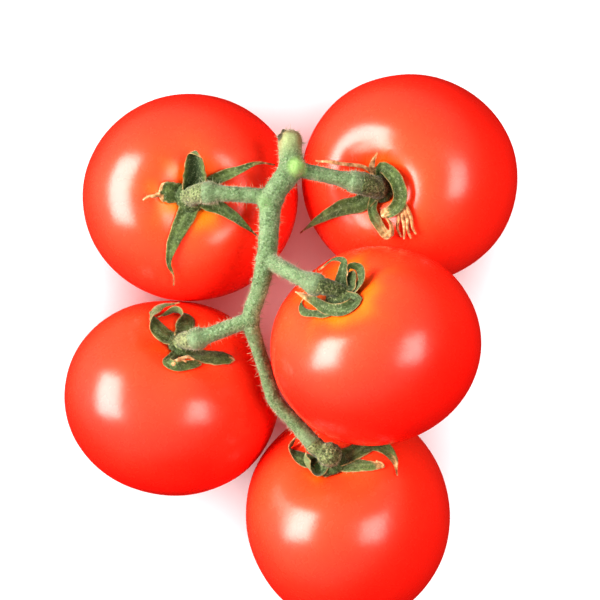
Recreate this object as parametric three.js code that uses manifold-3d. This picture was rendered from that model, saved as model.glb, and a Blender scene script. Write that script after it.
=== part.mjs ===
// A truss of five ripe vine tomatoes as cut from the plant, lying on a table with its stalk uppermost.
// Millimetres, +Z up. The origin is on the table under the middle of the truss, X runs across it and +Y runs
// along it towards the cut end of the stalk. Four tomatoes stand on the table and one is perched on them.
import * as THREE from "three";
import { mergeVertices } from "three/addons/utils/BufferGeometryUtils.js";
import Module from "manifold-3d";

// Driving dimensions, in millimetres and degrees

const GAP = 0.35; // between pieces that meet
const REST_DEPTH = 0.5; // how far a standing tomato is pressed flat where it rests
const PERCH_HEIGHT = 58.7; // centre of the raised tomato above the table

// The form that every tomato shares. Depths are shares of its own radius, angles are from its stem end.
const SQUARENESS = 2.15; // 2 is an ellipsoid, and more gives fuller shoulders
const DIMPLE_DEPTH = 0.22;
const DIMPLE_ANGLE = 23;
const BLOSSOM_DEPTH = 0.03;
const BLOSSOM_ANGLE = 13;
const LOBE_DEPTH = 0.012;
const SHOULDER_ANGLE = 36;
const SHOULDER_SPREAD = 20;

// Each tomato: half widths on its own X, Y and stem axis, its centre in plan, how far its stem end leans from
// upright and towards which plan angle, the number of shoulder lobes and their turn, the radius of the stub
// above its calyx, and the knuckle where that stub meets the pedicel
const TOMATOES = [
  { name: "upper_left", half: [32.4, 31.2, 27], at: [-30.4, 45.5], lean: 4, toward: 331,
    lobes: 5, turn: 20, stub: 2.7, knuckle: [-25.2, 45.4, 56.5] },
  { name: "upper_right", half: [32.8, 31.4, 27], at: [35.4, 51], lean: 26, toward: 199.6,
    lobes: 4, turn: 70, stub: 3.1, knuckle: [20.2, 48.2, 57] },
  { name: "raised", half: [30.6, 28.9, 26.5], at: [24.3, 1.5], lean: 52, toward: 125,
    lobes: 4, turn: 0, stub: 2.2, knuckle: [8.2, 18.6, 75], perched: true },
  { name: "lower_left", half: [32.2, 30.4, 26.5], at: [-35.8, -14.6], lean: 47, toward: 75,
    lobes: 5, turn: 45, stub: 2.5, knuckle: [-28.6, 3, 52.5] },
  { name: "tip", half: [30.3, 33, 30], at: [17, -49.7], lean: 45, toward: 108,
    lobes: 4, turn: 10, stub: 2.4, knuckle: [6.7, -27.4, 52.2] },
];

// The main stalk from its cut end down towards the tip's knuckle, as points with the radius there
const STALK = [
  { at: [-0.2, 63.6, 58.5], radius: 3.5 },
  { at: [-0.2, 57.2, 59.5], radius: 3.4 },
  { at: [0.1, 52.5, 59.5], radius: 3.5 },
  { at: [-5.2, 44.2, 58.5], radius: 3.2 },
  { at: [-6.2, 35.3, 59], radius: 2.9 },
  { at: [-7, 26.3, 60.5], radius: 2.8 },
  { at: [-9.2, 17, 59], radius: 2.5 },
  { at: [-11.6, 9, 57], radius: 2.5 },
  { at: [-9.7, 1.6, 54.5], radius: 2.1 },
  { at: [-7, -7.4, 52], radius: 2 },
  { at: [-4.6, -14.6, 51], radius: 2.15 },
  { at: [0.9, -20.8, 50.8], radius: 2.15 },
];

// The stalk point that each pedicel grows from. The tip has no pedicel, for the stalk itself runs to it.
const PEDICEL_ROOTS = { upper_right: 2, upper_left: 3, raised: 5, lower_left: 7 };
const PEDICEL_RADIUS = 2.25;
const KNUCKLE_RADIUS = 3.2;
const KNUCKLE_SHARE = 0.35; // of the pedicel's length that swells into the knuckle
const STUB_FLARE = 0.4; // of a stub's radius at both its ends
const STUB_RISE = 5.5; // from the dimple's bottom to the bend of the stub
const STUB_PULL = 0.3; // how far the knuckle turns from the line of its pedicel to that of its stub
const TIP_STALK_RADIUS = 2.5; // the stalk's own end, at the last knuckle
const TIP_BULB_RADIUS = 3.7; // the swollen stub of the last tomato, and its place from the knuckle
const TIP_BULB_OFFSET = [4.4, -2.8, 1];
const NODULE_RADIUS = 2.6; // the swelling beside the first pedicel
const NODULE_OFFSET = [1.6, 0.2, 1.9];

const RECEPTACLE_GAP = 0.5;
const RECEPTACLE_RADIUS = 4.8;
const RECEPTACLE_HEIGHT = 1.8;
const SEPAL_ROOT_SHARE = 0.3; // of the way to a spine's first point, where its blade starts
const BLADE_THICKNESS = 0.7;
const BLADE_TIP_WIDTH = 0.9;
const BLADE_ROOT = 0.72; // a sepal's root and how fast it widens from there, as shares of its width
const BLADE_FLARE = 1.3;
const BLADE_FOLD = 0.16; // usual rise of a sepal's edges over its midrib, as a share of its width
const TWIST_START = 0.25; // shares of a sepal's length between which it twists
const TWIST_END = 0.75;

// The sepals of each calyx. A spine runs out through points given as plan offsets in X and Y from the middle
// of the calyx, with a height over the calyx's own plane. Taper is how fast the blade narrows to its point,
// fold is the rise of its edges where it isn't the usual one, twist is how far it turns on its spine, and a
// level blade faces straight up all along it.
const SEPALS = {
  upper_left: [
    { width: 8.6, taper: 0.9, fold: 0.42,
      spine: [[1.2, 4.6, 2], [1.2, 9.3, 4.5], [1.5, 13, 7], [3.2, 11, 9]] },
    { width: 5.6, taper: 1.5, spine: [[7.8, 5.2, 3], [13.7, 7.5, 4.5], [19.5, 9.6, 5], [24.4, 9.2, 3]] },
    { width: 5.8, taper: 1.3, spine: [[8.8, -3.6, 3], [12.7, -6, 4], [16.6, -9.2, 3.5], [19.4, -11.6, 2]] },
    { width: 8.2, taper: 1.75,
      spine: [[-1, -4.4, 1.5], [-3.4, -9.4, 2.5], [-5.6, -14.8, 2.5], [-6.5, -19.5, 1], [-5.2, -23.2, -1],
        [-5.4, -26, -3]] },
    { width: 5.6, taper: 0.3, spine: [[-3, 0.8, 1], [-6, 1.2, 2.2], [-9.3, 1.4, 3]] },
  ],
  upper_right: [
    { width: 7.5, taper: 1.5,
      spine: [[-6, -4.8, 2], [-11.7, -6.3, 3], [-17.4, -8.9, 2], [-21.4, -11.4, -1], [-23.9, -13.2, -4]] },
    { width: 3.4, taper: 0.6, fold: 0.45,
      spine: [[-2.6, -6.2, 2], [-1.1, -10.5, 3], [1.4, -14.3, 4.2], [3, -14.5, 5.4], [2.8, -11.7, 6.4],
        [0.7, -8.9, 7]] },
    { width: 4.2, taper: 0.3, level: true,
      spine: [[-0.3, 5, 4], [2, 3.4, 5.6], [4, 0.4, 6.4], [4.9, -2.9, 6.4], [4, -6, 6.2], [1.8, -7.9, 6],
        [-0.6, -8.3, 5.6]] },
    { width: 2.6, taper: 1, spine: [[-2, 3.6, 3], [-3.2, 5.6, 5.5], [-1.8, 9.2, 9]] },
    { width: 1.2, taper: 0.5, spine: [[-4.4, 5, 4], [-12, 6.6, 5], [-19.4, 7.8, 2]] },
  ],
  raised: [
    { width: 6.5, taper: 2.2,
      spine: [[-0.4, 4.3, 5], [0, 8.4, 9], [0.2, 10.6, 11], [-2.6, 11.2, 11.5], [-7, 8.2, 9]] },
    { width: 4.2, taper: 0.9, twist: 40,
      spine: [[3.4, 2.5, 4], [5.3, 5.9, 7], [4.2, 9, 10], [1.4, 9.2, 13], [0.8, 6.5, 12]] },
    { width: 4.8, taper: 0.9, level: true,
      spine: [[3.2, -0.6, 3.5], [0, -2.9, 4.5], [-4.4, -2.7, 5], [-8.9, -0.2, 4.5], [-13.2, 1.9, 3.5]] },
    { width: 3.2, taper: 0.7, level: true,
      spine: [[-3, -4.2, 2], [-7, -4.3, 2.5], [-10.4, -4, 3], [-11.7, -1.8, 4], [-11, 0.4, 5]] },
    { width: 6, taper: 0.5, spine: [[1.6, 2.4, 3], [2.4, 5.4, 5], [2.4, 8, 7]] },
  ],
  lower_left: [
    { width: 7.5, taper: 1.1, twist: 130,
      spine: [[-4.8, 3.2, 2], [-8.6, 6.2, 3], [-9.6, 9.4, 5], [-7, 12.8, 7], [-1.2, 13.9, 7]] },
    { width: 8, taper: 1.2, twist: 120,
      spine: [[0.4, 5.6, 3], [0, 9.6, 5], [-2.6, 11.3, 6], [-7.6, 9.4, 5]] },
    { width: 2.8, taper: 0.35, level: true,
      spine: [[-2.6, -2, 2.5], [-4, -3.4, 3.6], [-1.8, -4.6, 4.6], [2.4, -4.4, 4.4], [5.6, -3.8, 3.6]] },
    { width: 5.6, taper: 0.5, spine: [[4.8, -2.2, 2], [9.6, -3.4, 2], [14.2, -3.7, 2]] },
    { width: 5.5, taper: 1.3, spine: [[4.8, 2.2, 1], [9.2, 2.6, 1]] },
  ],
  tip: [
    { width: 6, taper: 0.8, twist: 60,
      spine: [[-5.8, 0.8, 2], [-10.5, 2.2, 3], [-12.5, 5.2, 5], [-10.4, 8.5, 8]] },
    { width: 6, taper: 0.7, fold: 0.3, twist: 70,
      spine: [[-4.4, -2, 2.5], [-7.2, 0.2, 4.5], [-8, 2.6, 6.4], [-7.4, 4.4, 7.6]] },
    { width: 8, taper: 1.2, spine: [[5.4, 2.7, 2], [12, 6, 3], [15.5, 5, 3], [18, 2.4, 2], [18.8, -2, 1]] },
    { width: 5.6, taper: 0.8, twist: 40,
      spine: [[5.4, -0.4, 1], [10.1, 0, 2], [14.6, 0.9, 3], [12.8, 2.2, 5]] },
    { width: 7, taper: 1, spine: [[-1.2, -1.8, 1], [-1.6, -3.4, 1]] },
  ],
};

// How finely the curves are cut into flats
const SKIN_SIDES = 32;
const SKIN_RINGS = 20;
const STALK_SIDES = 10;
const STALK_STEPS = 32;
const PEDICEL_STEPS = 7;
const STUB_STEPS = 5;
const DOME_RINGS = 6;
const BLADE_STEPS = 9;
const BLADE_COLUMNS = 3;
const MERGE_DISTANCE = 1e-4;

// Finishes

const finish = (color, roughness) => new THREE.MeshStandardMaterial({ color, roughness, metalness: 0 });
const ripeSkin = () => finish(0xe8321c, 0.2);
const greyGreenStalk = () => finish(0x86a572, 0.75);
const darkGreenSepal = () => finish(0x587a41, 0.7);

// Solids: joining and cutting closed meshes

const wasm = await Module();
wasm.setup();

function toSolid(geometry) {
  const bare = geometry.clone();
  bare.deleteAttribute("normal");
  bare.deleteAttribute("uv");
  const merged = mergeVertices(bare, MERGE_DISTANCE);
  return new wasm.Manifold(new wasm.Mesh({
    numProp: 3,
    vertProperties: merged.attributes.position.array,
    triVerts: new Uint32Array(merged.index.array),
  }));
}

function toMesh(solid, name, material) {
  const { vertProperties, triVerts } = solid.getMesh();
  const geometry = new THREE.BufferGeometry();
  geometry.setAttribute("position", new THREE.BufferAttribute(vertProperties, 3));
  geometry.setIndex(new THREE.BufferAttribute(triVerts, 1));
  geometry.computeVertexNormals();
  const mesh = new THREE.Mesh(geometry, material);
  mesh.name = name;
  return mesh;
}

// Joins closed geometries into one body, without the pinholes that they may seal between them
function unite(geometries) {
  const joined = geometries.map(toSolid).reduce((whole, solid) => whole.add(solid));
  return joined.decompose().reduce((one, other) => (other.volume() > one.volume() ? other : one));
}

// A closed geometry from points and from triangles of their numbers
function closedGeometry(points, triangles) {
  const geometry = new THREE.BufferGeometry().setFromPoints(points);
  return geometry.setIndex(triangles.flat());
}

// A tube of changing radius round a curve, closed by a flat at each end
function taperedTube(curve, radiusAt, steps) {
  const sides = STALK_SIDES;
  const { normals, binormals } = curve.computeFrenetFrames(steps, false);
  const points = [];
  for (let step = 0; step <= steps; step++) {
    const centre = curve.getPointAt(step / steps);
    const radius = radiusAt(step / steps);
    for (let side = 0; side < sides; side++) {
      const turn = (2 * Math.PI * side) / sides;
      points.push(centre.clone()
        .addScaledVector(normals[step], radius * Math.cos(turn))
        .addScaledVector(binormals[step], radius * Math.sin(turn)));
    }
  }
  const first = points.push(curve.getPointAt(0)) - 1;
  const last = points.push(curve.getPointAt(1)) - 1;
  const at = (step, side) => step * sides + (side % sides);
  const triangles = [];
  for (let side = 0; side < sides; side++) {
    for (let step = 0; step < steps; step++) {
      triangles.push([at(step, side), at(step, side + 1), at(step + 1, side + 1)]);
      triangles.push([at(step, side), at(step + 1, side + 1), at(step + 1, side)]);
    }
    triangles.push([first, at(0, side + 1), at(0, side)]);
    triangles.push([last, at(steps, side), at(steps, side + 1)]);
  }
  return closedGeometry(points, triangles);
}

// A thin sheet between two grids of points, rows by columns, split into the same triangles on both faces
function sheet(upper, lower, rows, columns) {
  const under = upper.length;
  const triangles = [];
  const at = (row, column) => row * columns + column;
  const wall = (a, b) => triangles.push([a, a + under, b + under], [a, b + under, b]);
  for (let row = 0; row + 1 < rows; row++) {
    for (let column = 0; column + 1 < columns; column++) {
      const [a, b] = [at(row, column), at(row + 1, column)];
      const [c, d] = [at(row + 1, column + 1), at(row, column + 1)];
      triangles.push([a, b, c], [a, c, d]);
      triangles.push([a + under, c + under, b + under], [a + under, d + under, c + under]);
    }
    wall(at(row, 0), at(row + 1, 0));
    wall(at(row + 1, columns - 1), at(row, columns - 1));
  }
  for (let column = 0; column + 1 < columns; column++) {
    wall(at(0, column + 1), at(0, column));
    wall(at(rows - 1, column), at(rows - 1, column + 1));
  }
  return closedGeometry([...upper, ...lower], triangles);
}

// The tomato's own form, with its centre at the origin and its stem end at +Z

const UP = new THREE.Vector3(0, 0, 1);
const radians = THREE.MathUtils.degToRad;
const bell = (value, middle, spread) => Math.exp(-(((value - middle) / spread) ** 2));

// Distance from the centre to the skin along a direction
function skinRadius({ half, lobes, turn }, { x, y, z }) {
  const level = Math.hypot(x / half[0], y / half[1]);
  const body = (level ** SQUARENESS + Math.abs(z / half[2]) ** SQUARENESS) ** (-1 / SQUARENESS);
  const polar = THREE.MathUtils.radToDeg(Math.acos(THREE.MathUtils.clamp(z, -1, 1)));
  const wave = Math.cos(lobes * Math.atan2(y, x) + radians(turn));
  const lobe = LOBE_DEPTH * wave * bell(polar, SHOULDER_ANGLE, SHOULDER_SPREAD);
  const dimple = DIMPLE_DEPTH * bell(polar, 0, DIMPLE_ANGLE);
  const blossom = BLOSSOM_DEPTH * bell(polar, 180, BLOSSOM_ANGLE);
  return body * (1 + lobe - dimple - blossom);
}

// Moves a point out from the centre until it is that far clear of the skin
function clearOfSkin(tomato, point, distance) {
  const least = skinRadius(tomato, point.clone().normalize()) + distance;
  return point.length() < least ? point.clone().setLength(least) : point;
}

// Puts every vertex of a geometry through a function of points
function reshape(geometry, move) {
  const position = geometry.attributes.position;
  for (let i = 0; i < position.count; i++) {
    position.setXYZ(i, ...move(new THREE.Vector3().fromBufferAttribute(position, i)));
  }
  return geometry;
}

function skinGeometry(tomato) {
  const ball = new THREE.SphereGeometry(1, SKIN_SIDES, SKIN_RINGS).rotateX(Math.PI / 2);
  return reshape(ball, (point) => {
    const direction = point.normalize();
    return direction.multiplyScalar(skinRadius(tomato, direction));
  });
}

// Where a tomato lies: its lean from upright, its centre, and the bottom of its dimple in its own frame
function placeTomato(tomato) {
  const plan = radians(tomato.toward);
  const hinge = new THREE.Vector3(-Math.sin(plan), Math.cos(plan), 0);
  const lean = new THREE.Quaternion().setFromAxisAngle(hinge, radians(tomato.lean));
  const skin = skinGeometry(tomato);
  const leaning = skin.clone().applyQuaternion(lean);
  leaning.computeBoundingBox();
  const height = tomato.perched ? PERCH_HEIGHT : -leaning.boundingBox.min.z - REST_DEPTH;
  const centre = new THREE.Vector3(...tomato.at, height);
  const base = UP.clone().multiplyScalar(skinRadius(tomato, UP));
  const toTruss = (point) => point.clone().applyQuaternion(lean).add(centre);
  const toOwn = (point) => point.clone().sub(centre).applyQuaternion(lean.clone().invert());
  return { ...tomato, lean, skin, centre, base, toTruss, toOwn };
}

// The skin with a flat where it stands on the table
function tomatoMesh(tomato) {
  const side = tomato.centre.z * 2;
  const table = new THREE.BoxGeometry(side, side, side).translate(0, 0, -side / 2 - tomato.centre.z);
  table.applyQuaternion(tomato.lean.clone().invert());
  return toMesh(toSolid(tomato.skin).subtract(toSolid(table)), `tomato_${tomato.name}`, ripeSkin());
}

// The calyx: sepals and the stub of the pedicel on one receptacle, in its tomato's own frame

const bladeShare = (along, taper) => (BLADE_ROOT + BLADE_FLARE * along) * (1 - along) ** taper;

// The line that a sepal follows from the receptacle outwards
function sepalSpine(tomato, spine) {
  const axis = UP.clone().applyQuaternion(tomato.lean);
  const upright = tomato.lean.clone().invert();
  const points = spine.map(([x, y, height]) => {
    const drop = (axis.x * x + axis.y * y) / axis.z;
    return new THREE.Vector3(x, y, height - drop).applyQuaternion(upright).add(tomato.base);
  });
  const root = tomato.base.clone().setZ(tomato.base.z + RECEPTACLE_HEIGHT).lerp(points[0], SEPAL_ROOT_SHARE);
  return new THREE.CatmullRomCurve3([root, ...points]);
}

// A folded blade whose cross-sections turn with the spine and keep clear of the skin
function sepalGeometry(tomato, { width, taper, spine, fold = BLADE_FOLD, twist = 0, level = false }) {
  const curve = sepalSpine(tomato, spine);
  const facing = UP.clone().applyQuaternion(tomato.lean.clone().invert());
  const tangent = curve.getTangentAt(0);
  const across = UP.clone().cross(tangent).normalize();
  const upper = [];
  const lower = [];
  for (let row = 0; row <= BLADE_STEPS; row++) {
    const along = row / BLADE_STEPS;
    const ahead = curve.getTangentAt(along);
    across.applyQuaternion(new THREE.Quaternion().setFromUnitVectors(tangent, ahead));
    if (level) across.crossVectors(facing, ahead).normalize();
    tangent.copy(ahead);
    const twisted = radians(twist) * THREE.MathUtils.smoothstep(along, TWIST_START, TWIST_END);
    const sideways = across.clone().applyAxisAngle(tangent, twisted);
    const normal = tangent.clone().cross(sideways);
    const half = Math.max(width * bladeShare(along, taper), BLADE_TIP_WIDTH) / 2;
    for (let column = 0; column < BLADE_COLUMNS; column++) {
      const offset = (2 * column) / (BLADE_COLUMNS - 1) - 1;
      const middle = curve.getPointAt(along)
        .addScaledVector(sideways, half * offset)
        .addScaledVector(normal, 2 * half * fold * Math.abs(offset));
      const clear = clearOfSkin(tomato, middle, GAP + BLADE_THICKNESS);
      upper.push(clear.clone().addScaledVector(normal, BLADE_THICKNESS / 2));
      lower.push(clear.clone().addScaledVector(normal, -BLADE_THICKNESS / 2));
    }
  }
  return sheet(upper, lower, BLADE_STEPS + 1, BLADE_COLUMNS);
}

// The dome that carries the sepals, seated just clear of the dimple
function receptacleGeometry(tomato) {
  const dome = new THREE.SphereGeometry(1, STALK_SIDES, DOME_RINGS).rotateX(Math.PI / 2);
  dome.scale(RECEPTACLE_RADIUS, RECEPTACLE_RADIUS, RECEPTACLE_HEIGHT);
  dome.translate(0, 0, tomato.base.z + RECEPTACLE_HEIGHT);
  return reshape(dome, (point) => clearOfSkin(tomato, point, RECEPTACLE_GAP));
}

// The knuckle of a tomato in the truss: where its pedicel starts, its stub bends, and the line between them
function knuckleOf(tomato) {
  const at = new THREE.Vector3(...tomato.knuckle);
  const hasPedicel = tomato.name in PEDICEL_ROOTS;
  const root = new THREE.Vector3(...(hasPedicel ? STALK[PEDICEL_ROOTS[tomato.name]] : STALK.at(-1)).at);
  const bend = tomato.toTruss(tomato.base.clone().setZ(tomato.base.z + STUB_RISE));
  const fromBend = at.clone().sub(bend).normalize();
  const outward = root.clone().sub(at).normalize().lerp(fromBend, hasPedicel ? STUB_PULL : 0).normalize();
  return { at, root, bend, outward };
}

// The bent stub from the receptacle up to the knuckle
function stubGeometry(tomato) {
  const { at, bend, outward } = knuckleOf(tomato);
  const root = tomato.base.clone().setZ(tomato.base.z + RECEPTACLE_HEIGHT);
  const end = at.addScaledVector(outward, -GAP / 2);
  const turn = end.clone().addScaledVector(outward, -end.distanceTo(bend) / 2);
  const radius = (along) => tomato.stub + STUB_FLARE * Math.abs(2 * along - 1);
  const curve = new THREE.CubicBezierCurve3(root, ...[bend, turn, end].map(tomato.toOwn));
  return taperedTube(curve, radius, STUB_STEPS);
}

// The round swelling of a stub that has no pedicel
function bulbGeometry(tomato) {
  const centre = tomato.toOwn(new THREE.Vector3(...TIP_BULB_OFFSET).add(knuckleOf(tomato).at));
  return new THREE.SphereGeometry(TIP_BULB_RADIUS, STALK_SIDES, DOME_RINGS).translate(...centre);
}

function calyxMesh(tomato) {
  const sepals = SEPALS[tomato.name].map((sepal) => sepalGeometry(tomato, sepal));
  const bulbs = tomato.name in PEDICEL_ROOTS ? [] : [bulbGeometry(tomato)];
  const solid = unite([receptacleGeometry(tomato), stubGeometry(tomato), ...bulbs, ...sepals]);
  return toMesh(solid, `calyx_${tomato.name}`, darkGreenSepal());
}

// A tomato with its calyx, leaning where it lies in the truss
function tomatoGroup(tomato) {
  const group = new THREE.Group();
  group.position.copy(tomato.centre);
  group.quaternion.copy(tomato.lean);
  group.add(tomatoMesh(tomato), calyxMesh(tomato));
  return group;
}

// The vine stalk: main stalk, pedicels and the nodule, grown as one piece

function stalkGeometry(tip) {
  const { at, outward } = knuckleOf(tip);
  const end = at.addScaledVector(outward, GAP / 2);
  const points = [...STALK, { at: end.toArray(), radius: TIP_STALK_RADIUS }];
  const curve = new THREE.CatmullRomCurve3(points.map((point) => new THREE.Vector3(...point.at)));
  const radius = (along) => {
    const place = curve.getUtoTmapping(along) * (points.length - 1);
    const before = Math.min(Math.floor(place), points.length - 2);
    return THREE.MathUtils.lerp(points[before].radius, points[before + 1].radius, place - before);
  };
  return taperedTube(curve, radius, STALK_STEPS);
}

function pedicelGeometry(tomato) {
  const { at, root, outward } = knuckleOf(tomato);
  const end = at.addScaledVector(outward, GAP / 2);
  const third = root.distanceTo(end) / 3;
  const swell = (along) => THREE.MathUtils.smoothstep(along, 1 - KNUCKLE_SHARE, 1);
  const radius = (along) => PEDICEL_RADIUS + (KNUCKLE_RADIUS - PEDICEL_RADIUS) * swell(along);
  const beforeEnd = end.clone().addScaledVector(outward, third);
  const curve = new THREE.CubicBezierCurve3(root, root.clone().lerp(end, 1 / 3), beforeEnd, end);
  return taperedTube(curve, radius, PEDICEL_STEPS);
}

function noduleGeometry() {
  const root = STALK[PEDICEL_ROOTS.upper_right].at;
  const ball = new THREE.SphereGeometry(NODULE_RADIUS, STALK_SIDES, DOME_RINGS);
  return ball.translate(...root).translate(...NODULE_OFFSET);
}

function vineMesh(tomatoes) {
  const tip = tomatoes.find((tomato) => !(tomato.name in PEDICEL_ROOTS));
  const pedicels = tomatoes.filter((tomato) => tomato !== tip).map(pedicelGeometry);
  return toMesh(unite([stalkGeometry(tip), ...pedicels, noduleGeometry()]), "vine_stalk", greyGreenStalk());
}

const tomatoes = TOMATOES.map(placeTomato);
const truss = new THREE.Group();
truss.add(...tomatoes.map(tomatoGroup), vineMesh(tomatoes));

export default truss;
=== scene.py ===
import math

import bpy
import numpy as np
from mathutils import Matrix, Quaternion, Vector, noise


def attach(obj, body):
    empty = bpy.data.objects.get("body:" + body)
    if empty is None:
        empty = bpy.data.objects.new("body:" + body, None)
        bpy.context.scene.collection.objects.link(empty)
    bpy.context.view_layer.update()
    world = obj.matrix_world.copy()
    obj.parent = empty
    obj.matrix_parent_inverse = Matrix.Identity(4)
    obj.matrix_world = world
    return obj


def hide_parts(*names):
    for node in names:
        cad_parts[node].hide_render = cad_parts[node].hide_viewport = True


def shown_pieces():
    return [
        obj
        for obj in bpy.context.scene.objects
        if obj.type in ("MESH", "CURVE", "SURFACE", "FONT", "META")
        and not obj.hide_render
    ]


# A truss of five ripe vine tomatoes, seen from straight above on a white table.
# The part's tables are in millimetres and degrees, and its meshes and the studio are in metres.

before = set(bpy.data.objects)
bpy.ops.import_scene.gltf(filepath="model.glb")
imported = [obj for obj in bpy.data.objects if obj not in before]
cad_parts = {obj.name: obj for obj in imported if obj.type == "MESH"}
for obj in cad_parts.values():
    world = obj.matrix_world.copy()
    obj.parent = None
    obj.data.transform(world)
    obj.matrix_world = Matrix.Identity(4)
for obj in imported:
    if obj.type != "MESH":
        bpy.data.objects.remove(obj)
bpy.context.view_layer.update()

MM = 0.001
UP = Vector((0, 0, 1))

# The form that every tomato shares
GAP = 0.35
REST_DEPTH = 0.5
PERCH_HEIGHT = 58.7
SQUARENESS = 2.15
DIMPLE_DEPTH = 0.22
DIMPLE_ANGLE = 23
BLOSSOM_DEPTH = 0.03
BLOSSOM_ANGLE = 13
LOBE_DEPTH = 0.012
SHOULDER_ANGLE = 36
SHOULDER_SPREAD = 20
SOLID_SIDES = 32
SOLID_RINGS = 20

# The fine skin: its grid, the soft lumps away from its dimple, the streaks in its flush, the corky scar at
# its blossom end, and the steps through the noise that give each fruit a pattern of its own
SKIN_SIDES = 168
SKIN_RINGS = 104
LUMP_SHARE = 0.005
LUMP_SCALE = 2.2
LUMP_ANGLES = (20, 50)
STREAK_SHARE = 0.8
STREAK_SCALES = (4, 4, 1.2)
SCAR_ANGLE = 2.6
SCAR_RISE = 0.3
NOISE_STEP = 9
GRAIN_STEP = 5

# Each tomato: half widths on its own X, Y and stem axis, its centre in plan, how far its stem end leans from
# upright and towards which plan angle, how far from its calyx, in degrees, and how strongly it is flushed
# with orange, how dark its leaves are, its stub's tone from dark to pale, the number of shoulder lobes and
# their turn, its stub's radius and its knuckle
TOMATOES = [
    dict(name="upper_left", half=(32.4, 31.2, 27), at=(-30.4, 45.5), lean=4, toward=331,
         flush=(27, 0.8), shade=0.1, tone=0.8, lobes=5, turn=20, stub=2.7, knuckle=(-25.2, 45.4, 56.5)),
    dict(name="upper_right", half=(32.8, 31.4, 27), at=(35.4, 51), lean=26, toward=199.6,
         flush=(28, 0.55), shade=0.1, tone=0.3, lobes=4, turn=70, stub=3.1, knuckle=(20.2, 48.2, 57)),
    dict(name="raised", half=(30.6, 28.9, 26.5), at=(24.3, 1.5), lean=52, toward=125,
         flush=(36, 0.65), shade=0.55, tone=0.15, lobes=4, turn=0, stub=2.2, knuckle=(8.2, 18.6, 75),
         perched=True),
    dict(name="lower_left", half=(32.2, 30.4, 26.5), at=(-35.8, -14.6), lean=47, toward=75,
         flush=(28, 0.5), shade=0.2, tone=0.9, lobes=5, turn=45, stub=2.5, knuckle=(-28.6, 3, 52.5)),
    dict(name="tip", half=(30.3, 33, 30), at=(17, -49.7), lean=45, toward=108,
         flush=(30, 0.35), shade=0.2, tone=0.4, lobes=4, turn=10, stub=2.4, knuckle=(6.7, -27.4, 52.2)),
]

# The main stalk from its cut end down towards the tip's knuckle: X, Y, Z and radius
STALK = [
    (-0.2, 63.6, 58.5, 3.5),
    (-0.2, 57.2, 59.5, 3.4),
    (0.1, 52.5, 59.5, 3.5),
    (-5.2, 44.2, 58.5, 3.2),
    (-6.2, 35.3, 59, 2.9),
    (-7, 26.3, 60.5, 2.8),
    (-9.2, 17, 59, 2.5),
    (-11.6, 9, 57, 2.5),
    (-9.7, 1.6, 54.5, 2.1),
    (-7, -7.4, 52, 2),
    (-4.6, -14.6, 51, 2.15),
    (0.9, -20.8, 50.8, 2.15),
]

# The stalk point that each pedicel grows from, then the pedicels, the knuckles and the stubs below them
PEDICEL_ROOTS = {"upper_right": 2, "upper_left": 3, "raised": 5, "lower_left": 7}
PEDICEL_RADIUS = 2.25
KNUCKLE_RADIUS = 3.2
KNUCKLE_SHARE = 0.35
KNUCKLE_BALL = 3.4
KNUCKLE_BULGE = 1.8
STUB_FLARE = 0.4
STUB_RISE = 5.5
STUB_PULL = 0.3
SEAM_OVERLAP = 0.5
TIP_STALK_RADIUS = 2.5
TIP_BULB_RADIUS = 3.7
TIP_BULB_OFFSET = (4.4, -2.8, 1)

# The receptacle, and the leafy disc round the stub's foot, darkened with painted shade where it meets the
# fruit
RECEPTACLE_GAP = 0.5
RECEPTACLE_RADIUS = 4.8
RECEPTACLE_HEIGHT = 1.8
DISC_INNER = 3.3
DISC_TOP = 4.6
DISC_CREASE_SHADE = 1.2

# Swellings of the stalk: at its branches, the pale nodule, the axil of the second branch, and its cut end,
# which is rounded and has two dark flakes
NODE_SWELLING = 0.35
NODULE_RADIUS = 2.6
NODULE_OFFSET = (1.6, 0.2, 1.9)
AXIL_AT = (-7.4, 42.4, 59.4)
AXIL_RADIUS = 2.2
CUT_ROUNDING = 3.2
CUT_LEAST = 0.01
CUT_FLAKES = [((-3, 61.4, 60.2), 0.9), ((-2.1, 63, 60), 0.7)]

# Where the stalk's tints start and where they are full: distances, and for the cut end's browner, darker
# sides the rise of the surface
CUT_REACH = (10, 4)
CUT_SIDES_RISE = (0.95, 0.55)
FLAKE_REACH = (0.7, 0.2)
NODULE_REACH = (3.8, 2.3)
AXIL_REACH = (3.8, 1.8)
KNUCKLE_REACH = (8, 2.5)

# Sepals: the solid's own form
SEPAL_ROOT_SHARE = 0.3
BLADE_TIP_WIDTH = 0.5
BLADE_ROOT = 0.72
BLADE_FLARE = 1.3
BLADE_FOLD = 0.16
TWIST_SPAN = (0.25, 0.75)

# The finer leaf: its grid, how it thins to its margins and tip, its midrib, ragged margin and ripple
BLADE_ROWS = 44
BLADE_COLUMNS = 11
BLADE_THICKNESS = 0.5
MARGIN_THICKNESS = 0.45
TIP_THINNING = 0.4
RIB_RISE = 0.22
RIB_WIDTH = 0.2
RAGGED_SHARE = 0.16
RAGGED_SCALES = (7, 3)
RIPPLE = 0.35
RIPPLE_SCALES = (5, 1.2)
RIPPLE_MIDDLE = 0.4

# The marks that tint a leaf: pale rib, painted shade in its furrows and hollow, and the withered tip, margin
# and spots
RIB_MARK_WIDTH = 0.22
CREASE_SHADE_AT = 0.45
CREASE_SHADE_WIDTH = 0.2
HOLLOW_SHADE_DEPTH = 1.8
HOLLOW_SHADE_BAND = (0.8, 0.45)
SPOT_SHARE = 0.12
SPOT_SCALES = (3, 9, 3)
DRY_START = 1.5
DRY_END = 0.6
DRY_MARGIN = 0.7
DRY_MARGIN_BAND = (0.88, 1.05)
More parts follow.
